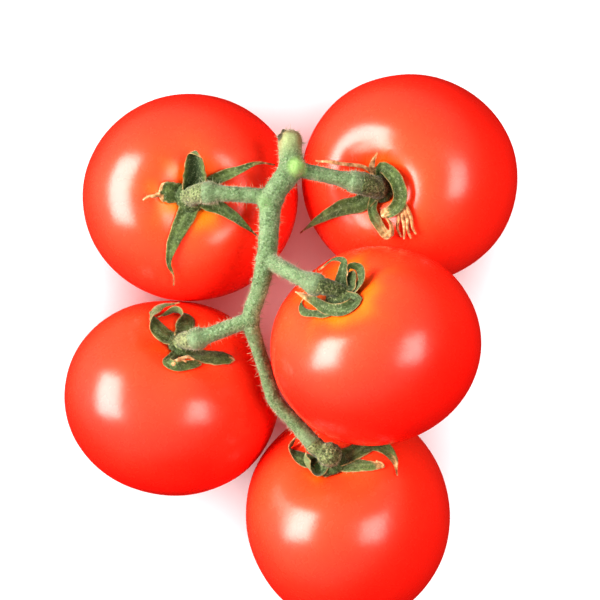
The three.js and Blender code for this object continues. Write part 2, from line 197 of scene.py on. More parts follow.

# A spine's points are plan offsets from the middle of the calyx and a height over the calyx's own plane.
# Fold is the rise of a leaf's edges, twist is how far it turns on its spine towards its tip, a level leaf
# faces straight up, a hollow one has painted shade between its margins, and dry is the share of it, from its
# tip, that has withered to tan.
SEPALS = {
    "upper_left": [
        dict(width=8.6, taper=0.9, fold=0.42, dry=0.05, hollow_shade=1,
             spine=[(1.2, 4.6, 2), (1.2, 9.3, 4.5), (1.5, 13, 7), (3.2, 11, 9)]),
        dict(width=5.6, taper=1.5, dry=0.2,
             spine=[(7.8, 5.2, 3), (13.7, 7.5, 4.5), (19.5, 9.6, 5), (24.4, 9.2, 3)]),
        dict(width=5.8, taper=1.3, dry=0.05,
             spine=[(8.8, -3.6, 3), (12.7, -6, 4), (16.6, -9.2, 3.5), (19.4, -11.6, 2)]),
        dict(width=8.2, taper=1.75, dry=0.16,
             spine=[(-1, -4.4, 1.5), (-3.4, -9.4, 2.5), (-5.6, -14.8, 2.5), (-6.5, -19.5, 1),
                    (-5.2, -23.2, -1), (-5.4, -26, -3)]),
        dict(width=5.6, taper=0.3, dry=0.1, spine=[(-3, 0.8, 1), (-6, 1.2, 2.2), (-9.3, 1.4, 3)]),
    ],
    "upper_right": [
        dict(width=7.5, taper=1.5, dry=0.1,
             spine=[(-6, -4.8, 2), (-11.7, -6.3, 3), (-17.4, -8.9, 2), (-21.4, -11.4, -1),
                    (-23.9, -13.2, -4)]),
        dict(width=3.4, taper=0.6, fold=0.45, dry=0.5,
             spine=[(-2.6, -6.2, 2), (-1.1, -10.5, 3), (1.4, -14.3, 4.2), (3, -14.5, 5.4),
                    (2.8, -11.7, 6.4), (0.7, -8.9, 7)]),
        dict(width=3.7, taper=0.3, level=True, dry=0.08,
             spine=[(-0.3, 5, 4), (2, 3.4, 5.6), (4, 0.4, 6.4), (4.9, -2.9, 6.4), (4, -6, 6.2),
                    (1.8, -7.9, 6), (-0.6, -8.3, 5.6)]),
        dict(width=2.6, taper=1, dry=0.7, spine=[(-2, 3.6, 3), (-3.2, 5.6, 5.5), (-1.8, 9.2, 9)]),
        dict(width=1.2, taper=0.5, dry=1.3, spine=[(-4.4, 5, 4), (-12, 6.6, 5), (-19.4, 7.8, 2)]),
    ],
    "raised": [
        dict(width=6.5, taper=2.2, dry=0.15,
             spine=[(-0.4, 4.3, 5), (0, 8.4, 9), (0.2, 10.6, 11), (-2.6, 11.2, 11.5), (-7, 8.2, 9)]),
        dict(width=4.2, taper=0.9, twist=40, dry=0.05,
             spine=[(3.4, 2.5, 4), (5.3, 5.9, 7), (4.2, 9, 10), (1.4, 9.2, 13), (0.8, 6.5, 12)]),
        dict(width=4.8, taper=0.9, level=True, dry=0.2,
             spine=[(3.2, -0.6, 3.5), (0, -2.9, 4.5), (-4.4, -2.7, 5), (-8.9, -0.2, 4.5),
                    (-13.2, 1.9, 3.5)]),
        dict(width=3.2, taper=0.7, level=True, dry=0.06,
             spine=[(-3, -4.2, 2), (-7, -4.3, 2.5), (-10.4, -4, 3), (-11.7, -1.8, 4), (-11, 0.4, 5)]),
        dict(width=6, taper=0.5, dry=0.04, spine=[(1.6, 2.4, 3), (2.4, 5.4, 5), (2.4, 8, 7)]),
    ],
    "lower_left": [
        dict(width=7.5, taper=1.1, twist=130, dry=0.08,
             spine=[(-4.8, 3.2, 2), (-8.6, 6.2, 3), (-9.6, 9.4, 5), (-7, 12.8, 7), (-1.2, 13.9, 7)]),
        dict(width=8, taper=1.2, twist=120, dry=0.08,
             spine=[(0.4, 5.6, 3), (0, 9.6, 5), (-2.6, 11.3, 6), (-7.6, 9.4, 5)]),
        dict(width=2.8, taper=0.35, level=True, dry=0.02,
             spine=[(-2.6, -2, 2.5), (-4, -3.4, 3.6), (-1.8, -4.6, 4.6), (2.4, -4.4, 4.4), (5.6, -3.8, 3.6)]),
        dict(width=5.6, taper=0.5, dry=0.06, spine=[(4.8, -2.2, 2), (9.6, -3.4, 2), (14.2, -3.7, 2)]),
        dict(width=5.5, taper=1.3, dry=0.05, spine=[(4.8, 2.2, 1), (9.2, 2.6, 1)]),
    ],
    "tip": [
        dict(width=6, taper=0.8, twist=60, dry=0.3,
             spine=[(-5.8, 0.8, 2), (-10.5, 2.2, 3), (-12.5, 5.2, 5), (-10.4, 8.5, 8)]),
        dict(width=6, taper=0.7, fold=0.3, twist=70, dry=0.06,
             spine=[(-4.4, -2, 2.5), (-7.2, 0.2, 4.5), (-8, 2.6, 6.4), (-7.4, 4.4, 7.6)]),
        dict(width=8, taper=1.2, dry=0.2,
             spine=[(5.4, 2.7, 2), (12, 6, 3), (15.5, 5, 3), (18, 2.4, 2), (18.8, -2, 1)]),
        dict(width=5.6, taper=0.8, twist=40, dry=0.25,
             spine=[(5.4, -0.4, 1), (10.1, 0, 2), (14.6, 0.9, 3), (12.8, 2.2, 5)]),
        dict(width=7, taper=1, dry=0.05, spine=[(-1.2, -1.8, 1), (-1.6, -3.4, 1)]),
    ],
}

# Threads that withered sepals end in, given as the spines are
STRANDS = {
    "upper_left": [[(-9, 0.6, 2.8), (-10.6, 0, 3.4), (-12.2, -0.2, 3.8), (-13.8, -1.2, 4.2)]],
    "upper_right": [
        [(4.2, -6.6, 5.2), (4.6, -9.6, 4.6), (4.2, -12.2, 4), (5.4, -15, 3)],
        [(5, -6.6, 5.4), (5.8, -9.8, 4.8), (6.2, -12.8, 4.2), (6.2, -15.6, 3)],
        [(5.6, -6.2, 5.2), (7, -9.8, 4.6), (7.2, -12.8, 4), (8.2, -15.4, 3)],
        [(6, -5.6, 5), (8, -9.2, 4.4), (8.6, -12.4, 3.8), (9.6, -14.2, 3)],
    ],
    "lower_left": [
        [(-1.8, -3.4, 5.2), (0.2, -2.4, 6.2), (2, -2, 6.4), (3.8, -2.8, 6)],
        [(-2.2, -4, 5), (-1, -3.2, 6), (0.4, -3, 6.2), (1.6, -3.4, 6)],
    ],
}
STRAND_RADIUS = 0.75
STRAND_TAPER = 0.6
STRAND_SIDES = 7

# Steps through the noise from calyx to calyx and from leaf to leaf
CALYX_SEED = 10
SEPAL_SEED = 1.7

# How finely the green parts are cut, how often they are smoothed, and layers of noise on them, each with its
# height and scale
SPLINE_STEPS = 60
TUBE_SIDES = 20
TUBE_STEPS = 160
STUB_STEPS = 40
STALK_VOXEL = 0.28
STALK_ROUNDS = 9
STALK_GRAIN = ((0.16, 0.55), (0.07, 2.4))
STUB_VOXEL = 0.24
STUB_ROUNDS = 5
STUB_GRAIN = ((0.2, 0.9), (0.12, 2.6))

# Hairs: more bias leaves fewer long ones, and more edge leaves fewer on top
HAIR_LEAN = 0.22
HAIR_LEAST = 0.2
STALK_HAIRS = dict(count=20000, longest=1.3, bias=4, root=0.037, edge=0)
BRISTLES = dict(count=520, longest=2.5, bias=1.5, root=0.07, edge=3)
CALYX_HAIRS = dict(count=2600, longest=0.7, bias=3, root=0.037, edge=0)

# The photograph: 600 pixels square, from straight above, with the camera's place in millimetres
IMAGE_SIZE = 600
FOCAL_PIXELS = 2233
CAMERA_AT = (2.65, 14.6, 700)
SENSOR_WIDTH = 36


# Curves

def catmull_rom(points):
    """A centripetal spline through points, as a dense polyline."""
    ends = [2 * points[0] - points[1], *points, 2 * points[-1] - points[-2]]
    line = []
    for before, start, end, after in zip(ends, ends[1:], ends[2:], ends[3:]):
        first, middle, last = (step.length ** 0.5 for step in (start - before, end - start, after - end))
        leave = (start - before) / first - (end - before) / (first + middle) + (end - start) / middle
        arrive = (end - start) / middle - (after - start) / (middle + last) + (after - end) / last
        for step in range(SPLINE_STEPS):
            t = step / SPLINE_STEPS
            line.append(start * (2 * t ** 3 - 3 * t ** 2 + 1) + end * (3 * t ** 2 - 2 * t ** 3)
                        + leave * middle * (t ** 3 - 2 * t ** 2 + t) + arrive * middle * (t ** 3 - t ** 2))
    return [*line, points[-1]]


def bezier(start, leave, arrive, end):
    """A cubic curve as a dense polyline."""
    shares = [step / SPLINE_STEPS for step in range(SPLINE_STEPS + 1)]
    return [start * (1 - t) ** 3 + leave * 3 * t * (1 - t) ** 2 + arrive * 3 * t ** 2 * (1 - t) + end * t ** 3
            for t in shares]


class Path:
    """A polyline that is read by the share of its length."""

    def __init__(self, line):
        self.coords = np.array([tuple(point) for point in line]).T
        steps = np.linalg.norm(np.diff(self.coords), axis=0)
        self.marks = np.concatenate([[0], np.cumsum(steps)])
        self.length = self.marks[-1]

    def at(self, share):
        return Vector([np.interp(share * self.length, self.marks, row) for row in self.coords])

    def tangent(self, share):
        near = 0.5 / SPLINE_STEPS
        return (self.at(min(1, share + near)) - self.at(max(0, share - near))).normalized()

    def place(self, share):
        """The number of the control point at a share, with its fraction."""
        return np.interp(share * self.length, self.marks, np.arange(len(self.marks)) / SPLINE_STEPS)


def smoothstep(value, low, high):
    t = np.clip((value - low) / (high - low), 0, 1)
    return t * t * (3 - 2 * t)


def bell(value, middle, spread):
    return np.exp(-(((value - middle) / spread) ** 2))


# Meshes

class Shape:
    """Vertices, faces, a material number for each face and named numbers for each vertex."""

    def __init__(self, vertices=(), faces=(), material=0, **marks):
        self.vertices = [Vector(v) for v in vertices]
        self.faces = [tuple(f) for f in faces]
        self.materials = [material] * len(self.faces)
        self.marks = {key: list(values) for key, values in marks.items()}

    def add(self, other):
        first = len(self.vertices)
        self.vertices += other.vertices
        self.faces += [tuple(first + i for i in face) for face in other.faces]
        self.materials += other.materials
        for key in {*self.marks, *other.marks}:
            mine = self.marks.setdefault(key, [0.0] * first)
            mine += other.marks.get(key, [0.0] * len(other.vertices))
        return self

    def moved(self, move):
        self.vertices = [move(v) for v in self.vertices]
        return self


def mesh_of(name, shape):
    mesh = bpy.data.meshes.new(name)
    mesh.from_pydata([v * MM for v in shape.vertices], [], shape.faces)
    mesh.polygons.foreach_set("material_index", shape.materials)
    mesh.polygons.foreach_set("use_smooth", [True] * len(shape.faces))
    for key, values in shape.marks.items():
        mesh.attributes.new(key, "FLOAT", "POINT").data.foreach_set("value", [float(v) for v in values])
    mesh.update()
    return mesh


def piece(name, shape, materials):
    """A finished piece of the part, riding on its one body."""
    made = bpy.data.objects.new(name, mesh_of(name, shape))
    bpy.context.scene.collection.objects.link(made)
    for material in materials:
        made.data.materials.append(material)
    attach(made, "root")
    return made


def blended(shape, voxel, rounds):
    """One closed skin round a shape's overlapping solids, with its creases smoothed."""
    raw = bpy.data.objects.new("raw", mesh_of("raw", shape))
    bpy.context.scene.collection.objects.link(raw)
    remesh = raw.modifiers.new("Remesh", "REMESH")
    remesh.mode = "VOXEL"
    remesh.voxel_size = voxel * MM
    smooth = raw.modifiers.new("Smooth", "SMOOTH")
    smooth.factor = 0.5
    smooth.iterations = rounds
    solid = raw.evaluated_get(bpy.context.evaluated_depsgraph_get()).to_mesh()
    made = Shape([v.co / MM for v in solid.vertices], [tuple(p.vertices) for p in solid.polygons])
    bpy.data.objects.remove(raw)
    return made


def normals_of(shape):
    """Unit normals at a shape's vertices."""
    at = np.array([tuple(v) for v in shape.vertices])
    total = np.zeros_like(at)
    for face in shape.faces:
        corners = at[list(face)]
        total[list(face)] += np.cross(corners[2] - corners[0], corners[-1] - corners[1])
    return total / np.maximum(np.linalg.norm(total, axis=1, keepdims=True), 1e-12)


def tube(path, radius_at, steps, sides=TUBE_SIDES):
    """A closed tube of changing radius round a path."""
    ahead = path.tangent(0)
    side = ahead.orthogonal().normalized()
    vertices = []
    for step in range(steps + 1):
        share = step / steps
        turned = path.tangent(share)
        side.rotate(ahead.rotation_difference(turned))
        ahead = turned
        other = ahead.cross(side)
        for i in range(sides):
            turn = 2 * math.pi * i / sides
            spoke = side * math.cos(turn) + other * math.sin(turn)
            vertices.append(path.at(share) + radius_at(share) * spoke)
    faces = []
    for near in range(0, steps * sides, sides):
        for i in range(sides):
            j = (i + 1) % sides
            faces.append((near + i, near + j, near + sides + j, near + sides + i))
    faces.append(tuple(reversed(range(sides))))
    faces.append(tuple(steps * sides + i for i in range(sides)))
    return Shape(vertices, faces)


def globe(sides, rings):
    """Unit directions and faces of a sphere with its poles on Z."""
    directions = [(0, 0, 1)]
    for ring in range(1, rings):
        polar = math.pi * ring / rings
        out, rise = math.sin(polar), math.cos(polar)
        for i in range(sides):
            turn = 2 * math.pi * i / sides
            directions.append((out * math.cos(turn), out * math.sin(turn), rise))
    directions.append((0, 0, -1))
    last = len(directions) - 1

    def at(ring, i):
        return 1 + (ring - 1) * sides + i % sides

    faces = [(0, at(1, i), at(1, i + 1)) for i in range(sides)]
    faces += [(at(ring, i), at(ring + 1, i), at(ring + 1, i + 1), at(ring, i + 1))
              for ring in range(1, rings - 1) for i in range(sides)]
    faces += [(last, at(rings - 1, i + 1), at(rings - 1, i)) for i in range(sides)]
    return np.array(directions), faces


def ball(middle, size):
    """A sphere of a radius, or an ellipsoid of three half widths."""
    directions, faces = globe(TUBE_SIDES, TUBE_SIDES // 2)
    return Shape([middle + Vector(d) * size for d in directions], faces)


def sheet_faces(rows, columns):
    """Faces of a thin sheet with a grid of upper points and then the same grid of lower ones."""
    under = rows * columns

    def at(row, column):
        return row * columns + column

    faces = []
    for row in range(rows - 1):
        for column in range(columns - 1):
            corners = (at(row, column), at(row + 1, column), at(row + 1, column + 1), at(row, column + 1))
            faces.append(corners)
            faces.append(tuple(under + i for i in reversed(corners)))
    rim = [at(row, 0) for row in range(rows)]
    rim += [at(rows - 1, column) for column in range(1, columns)]
    rim += [at(row, columns - 1) for row in range(rows - 2, -1, -1)]
    rim += [at(0, column) for column in range(columns - 2, 0, -1)]
    for a, b in zip(rim, rim[1:] + rim[:1]):
        faces.append((b, a, a + under, b + under))
    return faces


def roughened(shape, normals, grain):
    """Raises a shape's skin along its normals by layers of noise."""
    rises = [sum(height * noise.noise(v * scale) for height, scale in grain) for v in shape.vertices]
    shape.vertices = [v + Vector(n) * rise for v, n, rise in zip(shape.vertices, normals, rises)]


def nearness(shape, places, reach):
    """A mark for each vertex, by its distance from the nearest of some places."""
    return [float(smoothstep(min((v - place).length for place in places), *reach)) for v in shape.vertices]


# The tomatoes

def skin_radius(tomato, directions):
    """Distance from the centre to the skin along unit directions."""
    x, y, z = directions.T
    half = tomato["half"]
    level = np.hypot(x / half[0], y / half[1])
    body = (level ** SQUARENESS + np.abs(z / half[2]) ** SQUARENESS) ** (-1 / SQUARENESS)
    polar = np.degrees(np.arccos(np.clip(z, -1, 1)))
    wave = np.cos(tomato["lobes"] * np.arctan2(y, x) + math.radians(tomato["turn"]))
    lobe = LOBE_DEPTH * wave * bell(polar, SHOULDER_ANGLE, SHOULDER_SPREAD)
    dimple = DIMPLE_DEPTH * bell(polar, 0, DIMPLE_ANGLE)
    blossom = BLOSSOM_DEPTH * bell(polar, 180, BLOSSOM_ANGLE)
    return body * (1 + lobe - dimple - blossom)


def place_tomato(tomato):
    """Adds where a tomato lies: its lean, its centre, and the bottom of its dimple in its own frame."""
    plan = math.radians(tomato["toward"])
    lean = Quaternion((-math.sin(plan), math.cos(plan), 0), math.radians(tomato["lean"]))
    directions, _ = globe(SOLID_SIDES, SOLID_RINGS)
    solid = directions * skin_radius(tomato, directions)[:, None]
    lowest = (solid @ np.array(lean.to_matrix()).T)[:, 2].min()
    height = PERCH_HEIGHT if tomato.get("perched") else -lowest - REST_DEPTH
    base = UP * float(skin_radius(tomato, np.array([UP]))[0])
    return dict(tomato, lean=lean, centre=Vector((*tomato["at"], height)), base=base)


def to_truss(tomato, point):
    return tomato["lean"] @ point + tomato["centre"]


def to_own(tomato, point):
    return tomato["lean"].inverted() @ (point - tomato["centre"])


def clear_of_skin(tomato, point, distance):
    """Moves a point out from the centre until it is that far clear of the skin."""
    least = float(skin_radius(tomato, np.array([point.normalized()]))[0]) + distance
    return point.normalized() * least if point.length < least else point


def fruit(tomato, number):
    """The fine skin of a tomato, flat where it stands on the table."""
    directions, faces = globe(SKIN_SIDES, SKIN_RINGS)
    polar = np.degrees(np.arccos(np.clip(directions[:, 2], -1, 1)))
    step = NOISE_STEP * number
    lumps = np.array([noise.noise(Vector(d) * LUMP_SCALE + Vector((step, 0, 0))) for d in directions])
    radius = skin_radius(tomato, directions) * (1 + LUMP_SHARE * lumps * smoothstep(polar, *LUMP_ANGLES))
    radius += SCAR_RISE * bell(polar, 180 - SCAR_ANGLE, SCAR_ANGLE / 3)
    streaks = np.array([noise.noise(Vector(d * STREAK_SCALES + (0, 0, step))) for d in directions])
    spread, strength = tomato["flush"]
    flush = strength * bell(polar, 0, spread) * (1 + STREAK_SHARE * streaks)
    skin = Shape(directions * radius[:, None], faces, polar=polar / 180, flush=flush)
    for axis, values in zip("xyz", directions.T):
        skin.marks["own_" + axis] = list(values + GRAIN_STEP * number)
    skin.moved(lambda point: to_truss(tomato, point))
    return skin.moved(lambda point: Vector((point.x, point.y, max(point.z, 0))))


# The calyces

def sepal_path(tomato, spine):
    """The line that a sepal follows from the receptacle outwards, in its tomato's own frame."""
    axis = tomato["lean"] @ UP
    points = []
    for x, y, height in spine:
        drop = (axis.x * x + axis.y * y) / axis.z
        points.append(tomato["lean"].inverted() @ Vector((x, y, height - drop)) + tomato["base"])
    root = (tomato["base"] + UP * RECEPTACLE_HEIGHT).lerp(points[0], SEPAL_ROOT_SHARE)
    return Path(catmull_rom([root, *points]))


def sepal_rows(tomato, leaf):
    """A leaf's cross-sections: each one's share of the length, middle, two directions and half width."""
    path = sepal_path(tomato, leaf["spine"])
    facing = tomato["lean"].inverted() @ UP
    ahead = path.tangent(0)
    across = UP.cross(ahead).normalized()
    for row in range(BLADE_ROWS + 1):
        along = row / BLADE_ROWS
        turned = path.tangent(along)
        across.rotate(ahead.rotation_difference(turned))
        ahead = turned
        if leaf.get("level"):
            across = facing.cross(ahead).normalized()
        twist = math.radians(leaf.get("twist", 0)) * float(smoothstep(along, *TWIST_SPAN))
        sideways = Quaternion(ahead, twist) @ across
        share = (BLADE_ROOT + BLADE_FLARE * along) * (1 - along) ** leaf["taper"]
        half = max(leaf["width"] * share, BLADE_TIP_WIDTH) / 2
        yield along, path.at(along), sideways, ahead.cross(sideways), half


def leaf_noise(seed, along, offset, scales):
    return noise.noise(Vector((seed, along * scales[0], offset * scales[1])))


def sepal(tomato, leaf, seed):
    """A folded leaf with a raised midrib, uneven margins and a ripple that grows towards its tip."""
    fold, dryness, hollow_shade = leaf.get("fold", BLADE_FOLD), leaf["dry"], leaf.get("hollow_shade", 0)
    upper, lower, dry, rib, furrow = [], [], [], [], []
    for along, middle, sideways, normal, half in sepal_rows(tomato, leaf):
        for column in range(BLADE_COLUMNS):
            offset = 2 * column / (BLADE_COLUMNS - 1) - 1
            margin = abs(offset)
            ragged = 1 + RAGGED_SHARE * leaf_noise(seed, along, math.copysign(1, offset), RAGGED_SCALES)
            wave = leaf_noise(seed, along, offset, RIPPLE_SCALES)
            lift = 2 * half * fold * margin + RIPPLE * along * wave * (RIPPLE_MIDDLE + margin)
            point = middle + sideways * half * offset * ragged + normal * lift
            thick = BLADE_THICKNESS * (1 - (1 - MARGIN_THICKNESS) * offset ** 2) * (1 - TIP_THINNING * along)
            point = clear_of_skin(tomato, point, GAP + thick / 2)
            ridge = RIB_RISE * bell(offset, 0, RIB_WIDTH) * (1 - along)
            upper.append(point + normal * (thick / 2 + ridge))
            lower.append(point - normal * thick / 2)
            spots = SPOT_SHARE * leaf_noise(seed * SPOT_SCALES[0], along, offset, SPOT_SCALES[1:])
            withered = smoothstep(along + spots, 1 - dryness * DRY_START, 1 - dryness * DRY_END)
            edge = DRY_MARGIN * smoothstep(margin + spots, *DRY_MARGIN_BAND)
            dry.append(min(1, max(withered, edge)))
            rib.append(bell(offset, 0, RIB_MARK_WIDTH) * (1 - along))
            # painted shade along the leaf's furrows and, on a hollow leaf, between its margins
            dark = bell(margin, CREASE_SHADE_AT, CREASE_SHADE_WIDTH) * (1 - along)
            furrow.append(max(dark, hollow_shade * HOLLOW_SHADE_DEPTH * smoothstep(margin, *HOLLOW_SHADE_BAND)))
    none, full = [0.0] * len(upper), [1.0] * len(upper)
    faces = sheet_faces(BLADE_ROWS + 1, BLADE_COLUMNS)
    return Shape(upper + lower, faces, dry=dry * 2, rib=rib + none, furrow=furrow + none, under=none + full)


def knuckle_of(tomato):
    """A knuckle in the truss: its place, its pedicel's root, its stub's bend and the line between them."""
    at = Vector(tomato["knuckle"])
    number = PEDICEL_ROOTS.get(tomato["name"])
    root = Vector(STALK[-1 if number is None else number][:3])
    bend = to_truss(tomato, tomato["base"] + UP * STUB_RISE)
    pull = 0 if number is None else STUB_PULL
    outward = (root - at).normalized().lerp((at - bend).normalized(), pull).normalized()
    return at, root, bend, outward


def stub(tomato):
    """The bent stub and the receptacle under it, blended into one body with a leafy disc round its foot,
    which has painted shade.
    """
    at, _, bend, outward = knuckle_of(tomato)
    middle = tomato["base"] + UP * RECEPTACLE_HEIGHT
    end = at + outward * SEAM_OVERLAP
    turn = end - outward * (end - bend).length / 2

    def radius(share):
        return tomato["stub"] + STUB_FLARE * abs(2 * share - 1)

    shape = tube(Path(bezier(to_truss(tomato, middle), bend, turn, end)), radius, STUB_STEPS)
    if tomato["name"] not in PEDICEL_ROOTS:
        shape.add(ball(at + Vector(TIP_BULB_OFFSET), TIP_BULB_RADIUS))
    dome = ball(middle, Vector((RECEPTACLE_RADIUS, RECEPTACLE_RADIUS, RECEPTACLE_HEIGHT)))
    dome.moved(lambda point: to_truss(tomato, clear_of_skin(tomato, point, RECEPTACLE_GAP)))
    body = blended(shape.add(dome), STUB_VOXEL, STUB_ROUNDS)
    roughened(body, normals_of(body), STUB_GRAIN)
    places = [to_own(tomato, v) - tomato["base"] for v in body.vertices]
    leafy = [math.hypot(p.x, p.y) > DISC_INNER and p.z < DISC_TOP for p in places]
    body.materials = [0 if all(leafy[i] for i in face) else 1 for face in body.faces]
    # painted shade on the leafy disc where it meets the fruit
    body.marks["furrow"] = [DISC_CREASE_SHADE if leaf else 0.0 for leaf in leafy]
    body.marks["tone"] = [tomato["tone"]] * len(body.vertices)
    return body


def strands(tomato):
    """Thin withered threads at the ends of sepals."""
    def radius(share):
        return STRAND_RADIUS * (1 - STRAND_TAPER * share)

    threads = Shape()
    for spine in STRANDS.get(tomato["name"], []):
        points = sepal_path(tomato, spine).coords.T[SPLINE_STEPS:]
        thread = tube(Path([Vector(point) for point in points]), radius, STUB_STEPS, STRAND_SIDES)
        thread.moved(lambda point: to_truss(tomato, clear_of_skin(tomato, point, GAP)))
        thread.marks["dry"] = [1.0] * len(thread.vertices)
        threads.add(thread)
    return threads


def calyx(tomato, number):
    """The sepals, threads and stub of a tomato as one piece."""
    leaves = Shape()
    for i, leaf in enumerate(SEPALS[tomato["name"]]):
        leaves.add(sepal(tomato, leaf, CALYX_SEED * number + SEPAL_SEED * i))
    leaves.moved(lambda point: to_truss(tomato, point))
    leaves.add(strands(tomato)).add(stub(tomato))
    leaves.marks["shade"] = [tomato["shade"]] * len(leaves.vertices)
    return leaves


# The vine

def stalk_path(tip):
    at, _, _, outward = knuckle_of(tip)
    end = at + outward * GAP / 2
    return Path(catmull_rom([Vector(point[:3]) for point in STALK] + [end]))


def pedicel_path(tomato):
    at, root, _, outward = knuckle_of(tomato)
    end = at + outward * GAP / 2
    third = (root - end).length / 3
    return Path(bezier(root, root.lerp(end, 1 / 3), end + outward * third, end))


def vine_tubes(stalk, pedicels):
    """The stalk with its cut end rounded, and the pedicels swelling towards their knuckles."""
    radii = [point[3] for point in STALK] + [TIP_STALK_RADIUS]

    def stalk_radius(share):
        short = max(0, 1 - share * stalk.length / CUT_ROUNDING)
        radius = float(np.interp(stalk.place(share), range(len(radii)), radii))
        return radius * math.sqrt(max(CUT_LEAST, 1 - short ** 2))

    def pedicel_radius(share):
        swell = float(smoothstep(share, 1 - KNUCKLE_SHARE, 1))
        return PEDICEL_RADIUS + (KNUCKLE_RADIUS - PEDICEL_RADIUS) * swell

    shape = tube(stalk, stalk_radius, TUBE_STEPS)
    for path in pedicels:
        shape.add(tube(path, pedicel_radius, STUB_STEPS))
    return shape


def vine_swellings(tomatoes, nodule, axil):
    """Balls at the knuckles and branches, the nodule, the axil and the flakes of the cut end."""
    shape = Shape()
    for tomato in tomatoes:
        at, _, _, outward = knuckle_of(tomato)
        shape.add(ball(at + outward * KNUCKLE_BULGE, KNUCKLE_BALL))
        *root, radius = STALK[PEDICEL_ROOTS[tomato["name"]]]
        shape.add(ball(Vector(root), radius + NODE_SWELLING))
    shape.add(ball(nodule, NODULE_RADIUS))
    shape.add(ball(axil, AXIL_RADIUS))
    for middle, radius in CUT_FLAKES:
        shape.add(ball(Vector(middle), radius))
    return shape


def flake_mark(vertex):
    nearest = min((vertex - Vector(middle)).length - radius for middle, radius in CUT_FLAKES)
    return float(smoothstep(nearest, *FLAKE_REACH))


def vine(tomatoes):
    """The stalk, its pedicels and its nodule as one skin, marked where it is cut, swollen or budding."""
    *branched, tip = tomatoes
    stalk = stalk_path(tip)
    pedicels = [pedicel_path(tomato) for tomato in branched]
    nodule = Vector(STALK[PEDICEL_ROOTS["upper_right"]][:3]) + Vector(NODULE_OFFSET)
    axil = Vector(AXIL_AT)
    shape = vine_tubes(stalk, pedicels).add(vine_swellings(branched, nodule, axil))
    skin = blended(shape, STALK_VOXEL, STALK_ROUNDS)
    normals = normals_of(skin)
    roughened(skin, normals, STALK_GRAIN)
    skin.marks["cut"] = nearness(skin, [stalk.at(0)], CUT_REACH)
    # browner and darker where the surface near the cut end turns to the side or down
    sideways = smoothstep(normals[:, 2], *CUT_SIDES_RISE)
    skin.marks["rind"] = [float(cut * side) for cut, side in zip(skin.marks["cut"], sideways)]
    skin.marks["spot"] = [flake_mark(vertex) for vertex in skin.vertices]
    skin.marks["bud"] = nearness(skin, [nodule], NODULE_REACH)
    skin.marks["axil"] = nearness(skin, [axil], AXIL_REACH)
    skin.marks["knuckle"] = nearness(skin, [path.at(1) for path in (stalk, *pedicels)], KNUCKLE_REACH)
    return skin


def hairs(shape, count, longest, bias, root, edge):
    """Closed three-sided spikes scattered over a shape."""
    at = np.array([tuple(v) for v in shape.vertices])
    thirds = np.array([(face[i], face[(i + 1) % len(face)], face[(i + 2) % len(face)])
                       for face in shape.faces for i in ((0, 2) if len(face) == 4 else (0,))])
    corners = at[thirds]
    crosses = np.cross(corners[:, 1] - corners[:, 0], corners[:, 2] - corners[:, 0])
    areas = np.linalg.norm(crosses, axis=1)
    draw = np.random.default_rng(count)
    chance = areas * (1 - np.abs(crosses[:, 2]) / np.maximum(areas, 1e-12)) ** edge
    chosen = draw.choice(len(thirds), count, p=chance / chance.sum())
    a, b = np.sort(draw.random((2, count)), axis=0)
    shares = np.stack([a, b - a, 1 - b], axis=1)
    roots = (corners[chosen] * shares[:, :, None]).sum(axis=1)
    normals = crosses[chosen] / np.maximum(areas[chosen], 1e-12)[:, None]
    sides = np.cross(normals, draw.normal(size=(count, 3)))
    sides /= np.linalg.norm(sides, axis=1, keepdims=True)
    others = np.cross(normals, sides)
    lengths = longest * (HAIR_LEAST + (1 - HAIR_LEAST) * draw.random(count) ** bias)
    lean = normals + draw.normal(scale=HAIR_LEAN, size=(count, 3))
    lean /= np.linalg.norm(lean, axis=1, keepdims=True)
    turns = (0, 2 * math.pi / 3, 4 * math.pi / 3)
    rings = [roots - normals * root + root * (sides * math.cos(t) + others * math.sin(t)) for t in turns]
    points = np.stack([*rings, roots + lean * lengths[:, None]], axis=1).reshape(-1, 3)
    spike = ((0, 1, 3), (1, 2, 3), (2, 0, 3), (2, 1, 0))
    faces = [tuple(4 * i + corner for corner in face) for i in range(count) for face in spike]
    return Shape(points, faces)


# Materials. Noise scales are in turns over a fruit's radius for the skin and over a metre for the rest.

GRAIN_DETAIL = 2
CLOUD_ON_FLUSH = 0.175
CLOUD_ON_RIPENESS = 0.15
SKIN_ROUGHNESS = 0.23
SKIN_ROUGHNESS_RANGE = 0.08
SCAR_ROUGHNESS = 0.45
SCAR_BAND = (0.977, 0.985)
SKIN_GRAIN_SHARE = 0.15


def feed(tree, socket, value):
    if isinstance(value, bpy.types.NodeSocket):
        tree.links.new(value, socket)
    else:
        socket.default_value = value


def add(tree, kind, inputs=None, **settings):
    made = tree.nodes.new(kind)
    for key, value in settings.items():
        setattr(made, key, value)
    for key, value in (inputs or {}).items():
        feed(tree, made.inputs[key], value)
    return made


def mark(tree, name):
    """A number that the mesh carries at each of its points."""
    return add(tree, "ShaderNodeAttribute", attribute_name=name).outputs["Fac"]


def noise_of(tree, vector, scale, detail=3):
    made = add(tree, "ShaderNodeTexNoise", {"Scale": scale, "Detail": detail, "Vector": vector})
    return made.outputs["Fac"]


def maths(tree, operation, *values):
    made = add(tree, "ShaderNodeMath", operation=operation)
    for socket, value in zip(made.inputs, values):
        feed(tree, socket, value)
    return made.outputs[0]


def ramp(tree, factor, stops):
    made = add(tree, "ShaderNodeValToRGB", {"Fac": factor})
    elements = made.color_ramp.elements
    while len(elements) < len(stops):
        elements.new(0.5)
    for element, (position, colour) in zip(elements, stops):
        element.position = position
        element.color = (*colour, 1)
    return made.outputs["Color"]


def scale_ramp(tree, factor, low, high):
    """A factor stretched from low..high to 0..1."""
    made = add(tree, "ShaderNodeMapRange", {"Value": factor, "From Min": low, "From Max": high})
    return made.outputs["Result"]


